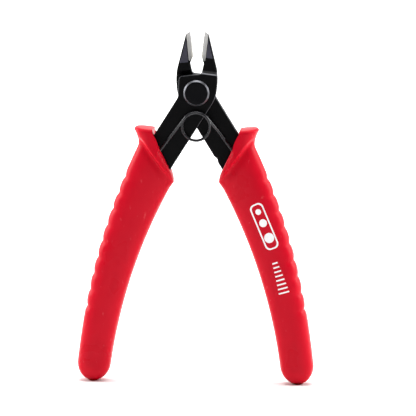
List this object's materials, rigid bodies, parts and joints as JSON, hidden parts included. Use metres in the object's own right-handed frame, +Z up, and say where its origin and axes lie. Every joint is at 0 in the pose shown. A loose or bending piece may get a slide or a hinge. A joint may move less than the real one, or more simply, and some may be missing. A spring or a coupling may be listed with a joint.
{
  "type": "flush cutter",
  "caption": "Small spring-opened flush cutter for electronics work: lap-jointed black steel halves, large pivot rivet, wire return spring and curved ribbed grips.",
  "frame": {"origin": "on the floor plane midway between the ends of the two grips, the tool standing open on them", "axes": "+Z up from the grips to the jaw tips, +X from the left grip to the right grip, -Y is the front, where the spring and the rivet's chamfered head are"},
  "size_m": [0.083, 0.0116, 0.1238],
  "materials": {
    "black_oxide_steel": "black oxide, satin, with bright ground cutting bevels",
    "rivet_steel": "blackened face with a bright turned chamfer",
    "spring_wire": "dark drawn spring wire",
    "red_grip_plastic": "moulded, soft gloss",
    "white_print": "thin pad-printed ink, for the wire-size mark on the right grip"
  },
  "bodies": {
    "rear_body": {"rear_half": "black_oxide_steel", "right_grip": "red_grip_plastic", "pivot_rivet": "rivet_steel", "return_spring": "spring_wire"},
    "front_body": {"front_half": "black_oxide_steel", "left_grip": "red_grip_plastic"}
  },
  "joints": [
    {"name": "jaw_pivot", "type": "hinge", "parent": "rear_body", "child": "front_body", "pos_m": [0, 0, 0.10258], "axis": [0, -1, 0], "range_deg": [0, 12.8], "stiffness_Nm_per_rad": 2, "deforming": ["return_spring"]}
  ]
}
